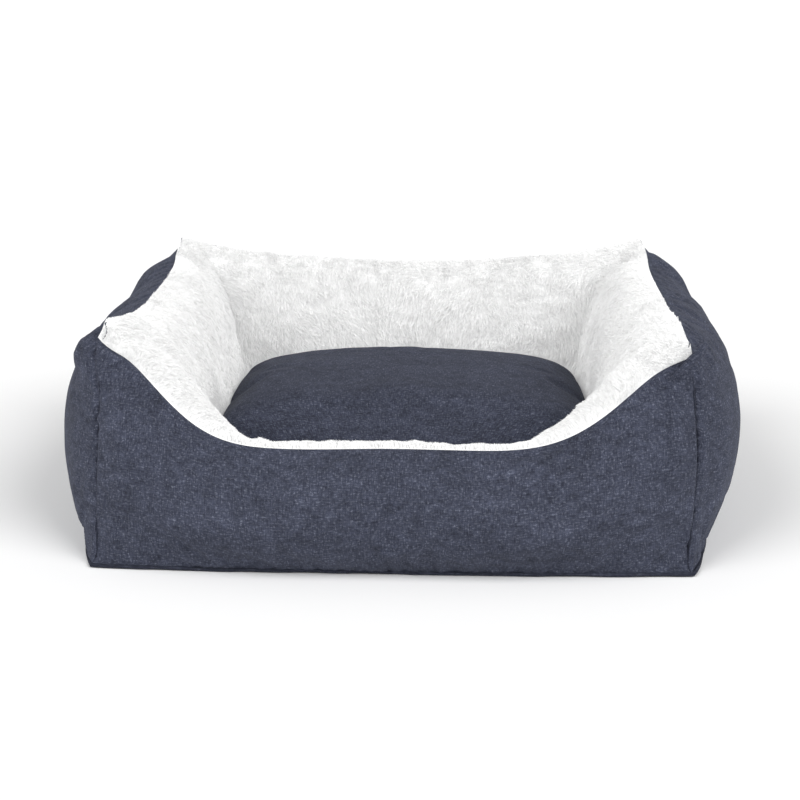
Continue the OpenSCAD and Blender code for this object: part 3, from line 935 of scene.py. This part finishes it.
def make_label():
    """Blank satin label from the back seam, its free end curling up a little."""
    start, end = low("care_label"), high("care_label")
    x = np.linspace(start[0], end[0], 25)
    share = np.linspace(0, 1, 17)
    grid = np.empty((25, 17, 3))
    grid[..., 0] = x[:, None]
    grid[..., 1] = start[1] - 3 * MM + share[None, :] * (end[1] - start[1] + 2 * MM)
    grid[..., 2] = 1.6 * MM + 7 * MM * share[None, :] ** 2.2 + 0.5 * MM * np.sin(x[:, None] * 210)
    sheet_from_grid("blank_label", grid, LABEL, "bed", "label_satin", ["care_label"], thickness=0.5 * MM,
                    offset=0)


# ---- Cushion ----

PLAN_POWER = 13.0
SIDE_POWER = 5.0
BACK_DROP = 15 * MM  # how much lower its back corners are than the middle
CUSHION_SPREAD = (5 * MM, 13 * MM)  # how far its soft sides fill the nest, left and right
ZIP_HALF = high("zip_tape_upper")[0] + 6 * MM


def taken_out(work):
    """The points and faces of a bmesh, which is freed."""
    work.verts.index_update()
    points = np.array([v.co[:] for v in work.verts])
    faces = [tuple(v.index for v in f.verts) for f in work.faces]
    work.free()
    return points, faces


def cushion_mesh():
    """Even quads over the cushion's crowned box shape: points and faces, with an edge loop at the seam."""
    work = bmesh.new()
    counts = (64, 48, 20)
    for axis in range(3):
        u_axis, v_axis = [k for k in range(3) if k != axis]
        u = np.linspace(-1, 1, counts[u_axis] + 1)
        v = np.linspace(-1, 1, counts[v_axis] + 1)
        for sign in (-1, 1):
            grid = np.zeros((len(u), len(v), 3))
            grid[..., axis] = sign
            grid[..., u_axis] = u[:, None]
            grid[..., v_axis] = v[None, :]
            made = [work.verts.new(p) for p in grid.reshape(-1, 3)]
            for face in grid_faces(len(u), len(v)):
                work.faces.new([made[k] for k in face])
    bmesh.ops.remove_doubles(work, verts=work.verts, dist=1e-5)
    bmesh.ops.recalc_face_normals(work, faces=work.faces)
    return taken_out(work)


def cushion_shape(cube, inset):
    """Cube points carried onto the cushion's crowned box, inset inside its cover."""
    plan = np.sum(np.abs(cube[:, :2]) ** PLAN_POWER, axis=1) ** (SIDE_POWER / PLAN_POWER)
    p = cube * ((plan + np.abs(cube[:, 2]) ** SIDE_POWER) ** (-1 / SIDE_POWER))[:, None]
    crown = CUSHION_HIGH[2] - SEAM_Z - inset
    keel = 1.15 * (SEAM_Z - CUSHION_LOW[2]) - inset
    z = SEAM_Z + np.where(p[:, 2] > 0, p[:, 2] * crown, p[:, 2] * keel)
    z -= BACK_DROP * p[:, 0] ** 2 * smooth(p[:, 1]) * np.maximum(p[:, 2], 0)
    z = np.maximum(z, CUSHION_LOW[2] + inset)
    half_length = CUSHION_HIGH[0] + np.where(p[:, 0] < 0, *CUSHION_SPREAD)
    return np.stack([p[:, 0] * (half_length - inset), p[:, 1] * (CUSHION_HIGH[1] - inset), z], axis=1)


def queue_cushion():
    cube, faces = cushion_mesh()
    points = cushion_shape(cube, 2.0 * MM)
    pins = (points[:, 2] < CUSHION_LOW[2] + 2.5 * MM).astype(float)
    entry = simulate_later(points, faces, pins, 2.2, 0.02, 9 * MM, 0.8)
    entry.update(cube=cube, faces=faces)
    return entry


def settle_cushion(entry):
    """The simulated cover, kept clear of the zip behind and the nest's walls, with its seam drawn in."""
    p = entry["points"].copy()
    rest = entry["start"]
    from_seam = np.abs(p[:, 2] - SEAM_Z)
    outward = unit(rest * (1, 1, 0))
    drawn = 2.6 * MM * np.exp(-(from_seam / (5 * MM)) ** 2)
    pucker = 1.2 * MM * soft_noise(rest * (1, 1, 0.05), 0.012, 101) * np.exp(-from_seam / (16 * MM))
    side = smooth(((np.abs(rest[:, :2]) / CUSHION_HIGH[:2]).max(axis=1) - 0.9) / 0.08)
    p -= outward * ((drawn + pucker) * side)[:, None]
    crease = fold(p, (-0.105, 0.055, CUSHION_HIGH[2]), (0.005, 0.062, CUSHION_HIGH[2]), 5 * MM, 1.6 * MM)
    top = smooth((p[:, 2] - SEAM_Z) / 0.03)
    wave = 1.2 * MM * soft_noise(rest, 0.06, 102) + 0.4 * MM * soft_noise(rest, 0.02, 103)
    p[:, 2] += (wave - crease) * top
    room, ease = 2.5 * MM, 7 * MM
    for axis in (0, 1):
        limit = CUSHION_HIGH[axis] + room + (np.where(p[:, 0] < 0, *CUSHION_SPREAD) if axis == 0 else 0)
        over = np.maximum(np.abs(p[:, axis]) - (limit - ease), 0)
        p[:, axis] -= np.sign(p[:, axis]) * (over - ease * np.tanh(over / ease))
    zip_room = smooth((ZIP_HALF - np.abs(p[:, 0])) / 0.01) * smooth((0.022 - from_seam) / 0.008)
    back_limit = low("zip_tape_upper")[1] - 0.4 * MM
    behind = (p[:, 1] > back_limit) & (p[:, 1] > 0)
    p[behind, 1] -= (p[behind, 1] - back_limit) * zip_room[behind]
    p[:, 2] = np.maximum(p[:, 2], CUSHION_LOW[2])
    return p


def make_cushion_panel(side, p, cube, faces):
    """The cover's top or bottom panel, cut from the whole cover along its seam."""
    mine = [f for f in faces if (np.mean([cube[k][2] for k in f]) > 0) == (side == "top")]
    used = sorted({k for f in mine for k in f})
    number = {k: n for n, k in enumerate(used)}
    points = p[used]
    outward = unit(points * (1, 1, 0))
    from_seam = np.abs(points[:, 2] - SEAM_Z)
    drop = np.maximum(0, from_seam.max() - from_seam - 12 * MM)[:, None]
    cloth = (points + outward * drop) * (1, 1, 0)
    piece = new_piece(f"cushion_{side}_cloth", points, [tuple(number[k] for k in f) for f in mine],
                      CUSHION_DENIM_PAINTED_SHADE, "cushion", "denim", cloth)
    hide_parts(f"cushion_{side}_panel")
    area = mesh_area(piece)
    subdivide(piece)
    thicken(piece, CLOTH_THICKNESS)


def make_cushion(entry):
    p = settle_cushion(entry)
    for side in ("top", "bottom"):
        make_cushion_panel(side, p, entry["cube"], entry["faces"])
    centre = np.array([0, 0, SEAM_Z])
    inner = centre + (p - centre) * (0.965, 0.955, 0.92)
    piece = new_piece("cushion_stuffing", inner, entry["faces"], FIBRE, "cushion", "fibre_fill")
    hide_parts("cushion_filling")


# ---- Zip ----

TOOTH_PITCH = 4 * MM


def block(start, end, bevel):
    """Points and faces of a block with rounded edges."""
    work = bmesh.new()
    bmesh.ops.create_cube(work, size=1)
    size = np.array(end) - np.array(start)
    centre = (np.array(end) + np.array(start)) / 2
    for v in work.verts:
        v.co = Vector(centre + np.array(v.co[:]) * size)
    bmesh.ops.bevel(work, geom=work.edges[:], offset=bevel, segments=2, profile=0.6, affect="EDGES")
    return taken_out(work)


def joined(parts):
    """Several (points, faces) parts as one."""
    points, faces, first = [], [], 0
    for part_points, part_faces in parts:
        points.append(part_points)
        faces += [tuple(k + first for k in f) for f in part_faces]
        first += len(part_points)
    return np.concatenate(points), faces


def loop_tube(path, radius, sides=8):
    """A closed tube along a closed path of points."""
    ahead = unit(np.roll(path, -1, axis=0) - np.roll(path, 1, axis=0))
    across = unit(np.cross(ahead, (0.0, 1.0, 0.0)))
    rings = rings_round(path, radius, across, np.cross(across, ahead), sides)
    return rings.reshape(-1, 3), ring_faces(len(path), sides, closed=True)


def make_zip():
    for name, sense in (("upper", 1), ("lower", -1)):
        node = f"zip_tape_{name}"
        start, end = low(node), high(node)
        x = np.linspace(start[0], end[0], 121)
        share = np.linspace(0, 1, 9)
        inner, outer = (start[2], end[2]) if sense > 0 else (end[2], start[2])
        fall = (end[1] - start[1]) * np.abs(x / end[0]) ** 7
        grid = np.empty((121, 9, 3))
        grid[..., 0] = x[:, None]
        grid[..., 1] = end[1] - 0.3 * MM - fall[:, None] * share[None, :] * 0.8
        grid[..., 1] += 0.25 * MM * np.sin(x[:, None] * 330) * share[None, :]
        grid[..., 2] = inner + share[None, :] * (outer - inner)
        if sense > 0:
            grid = grid[::-1]
        sheet_from_grid(f"zip_tape_{name}_cloth", grid, TAPE, "cushion", "zip_textile", [node],
                        thickness=0.6 * MM, offset=0)
        teeth = f"zip_teeth_{name}"
        start, end = low(teeth), high(teeth)
        tooth = (0.55 * TOOTH_PITCH / 2, end[1] - start[1], end[2] - start[2])
        count = int(round((end[0] - start[0] - tooth[0]) / TOOTH_PITCH)) + 1
        one, faces = block((0, 0, 0), tooth, 0.3 * MM)
        rows = [(one + start + (k * TOOTH_PITCH, 0, 0), faces) for k in range(count)]
        piece = new_piece(f"{teeth}_row", *joined(rows), METAL, "cushion", "zip_textile")
        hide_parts(teeth)
    start, end = low("zip_end_stops"), high("zip_end_stops")
    stops = [block((x, start[1], start[2]), (x + 3 * MM, end[1], end[2]), 0.6 * MM)
             for x in (start[0], end[0] - 3 * MM)]
    piece = new_piece("zip_stops", *joined(stops), METAL, "cushion", "zip_metal")
    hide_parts("zip_end_stops")


def make_slider():
    """Slider body, its bridge and a long pull tab that hangs from it."""
    start, end = low("zip_slider"), high("zip_slider")
    wall = 1.2 * MM
    half_tab = 3 * MM
    middle = (start[0] + end[0]) / 2
    plate_low = end[1] - wall
    parts = [block((start[0], plate_low, start[2]), end, 0.45 * MM),
             block((start[0], start[1], end[2] - wall), (end[0], end[1], end[2]), 0.4 * MM),
             block((start[0], start[1], start[2]), (end[0], end[1], start[2] + wall), 0.4 * MM),
             block((middle - half_tab, end[1] - 0.3 * MM, SEAM_Z - 0.8 * MM),
                   (middle + half_tab, end[1] + 1.6 * MM, SEAM_Z + 0.8 * MM), 0.6 * MM)]
    angle = np.linspace(0, 2 * math.pi, 25)[:-1]
    ring = np.stack([middle + 2.6 * MM * np.cos(angle), np.full(24, end[1] + 0.9 * MM),
                     SEAM_Z - 3.2 * MM + 4.4 * MM * np.sin(angle)], axis=1)
    parts.append(loop_tube(ring, 0.55 * MM))
    parts.append(block((middle - half_tab, end[1] + 0.4 * MM, SEAM_Z - 22 * MM),
                       (middle + half_tab, end[1] + 1.4 * MM, SEAM_Z - 7 * MM), 0.45 * MM))
    piece = new_piece("zip_slider_body", *joined(parts), METAL, "zip_slider", "zip_metal")
    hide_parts("zip_slider")


# ---- Lights and floor ----

WORLD_STRENGTH = 0.36
SUN_STRENGTH = 1.72
SUN_RISE = 40
SUN_TURN = 52
SUN_ANGLE = 38
LEFT_SUN = 0.9 * SUN_STRENGTH
RIGHT_SUN = 1.15 * SUN_STRENGTH
# The sky fades from white at the horizon to its own strength higher up: sines of the two heights
HORIZON_STRENGTH = 1.02
HORIZON_END = 0.22
SKY_START = 0.45
FLOOR_HALF = 40.0


def add_sun(name, turn, strength):
    data = bpy.data.lights.new(name, "SUN")
    data.energy = strength
    data.angle = math.radians(SUN_ANGLE)
    light = bpy.data.objects.new(name, data)
    scene.collection.objects.link(light)
    light.rotation_euler = (math.radians(90 - SUN_RISE), 0, math.radians(turn))


def add_studio():
    world = bpy.data.worlds.new("studio")
    world.use_nodes = True
    tree = world.node_tree
    generated = add(tree, "ShaderNodeTexCoord")["Generated"]
    height = add(tree, "ShaderNodeSeparateXYZ", {"Vector": generated})["Z"]
    strength = add(tree, "ShaderNodeMapRange", {
        "Value": height, "From Min": HORIZON_END, "From Max": SKY_START,
        "To Min": HORIZON_STRENGTH, "To Max": WORLD_STRENGTH})["Result"]
    feed(tree, tree.nodes["Background"], {"Color": (1, 1, 1), "Strength": strength})
    scene.world = world
    add_sun("front_left", -SUN_TURN, LEFT_SUN)
    add_sun("front_right", SUN_TURN, RIGHT_SUN)
    mesh = bpy.data.meshes.new("floor")
    corners = [(x * FLOOR_HALF, y * FLOOR_HALF, 0) for x, y in ((-1, -1), (1, -1), (1, 1), (-1, 1))]
    mesh.from_pydata(corners, [], [(0, 1, 2, 3)])
    floor = bpy.data.objects.new("floor", mesh)
    scene.collection.objects.link(floor)
    material, tree, shader = new_material("floor_white")
    feed(tree, shader, {"Base Color": (0.92,) * 3, "Roughness": 0.9, "Specular IOR Level": 0.0})
    mesh.materials.append(material)
    scene.view_settings.view_transform = "Standard"


# ---- The whole bed ----

add_camera()
add_studio()
panel_entries = [queue_outer_panel(wall) for wall in WALLS]
cushion_entry = queue_cushion()
run_simulation()
for wall, entry in zip(WALLS, panel_entries):
    make_outer_panel(wall, entry)
    make_stuffing(wall)
    surface = make_lining(wall)
    for part in range(1, PILE_PARTS + 1):
        make_pile(wall, surface, part)
make_corner_strips()
make_corner_tuck()
make_base()
make_label()
make_cushion(cushion_entry)
make_zip()
make_slider()
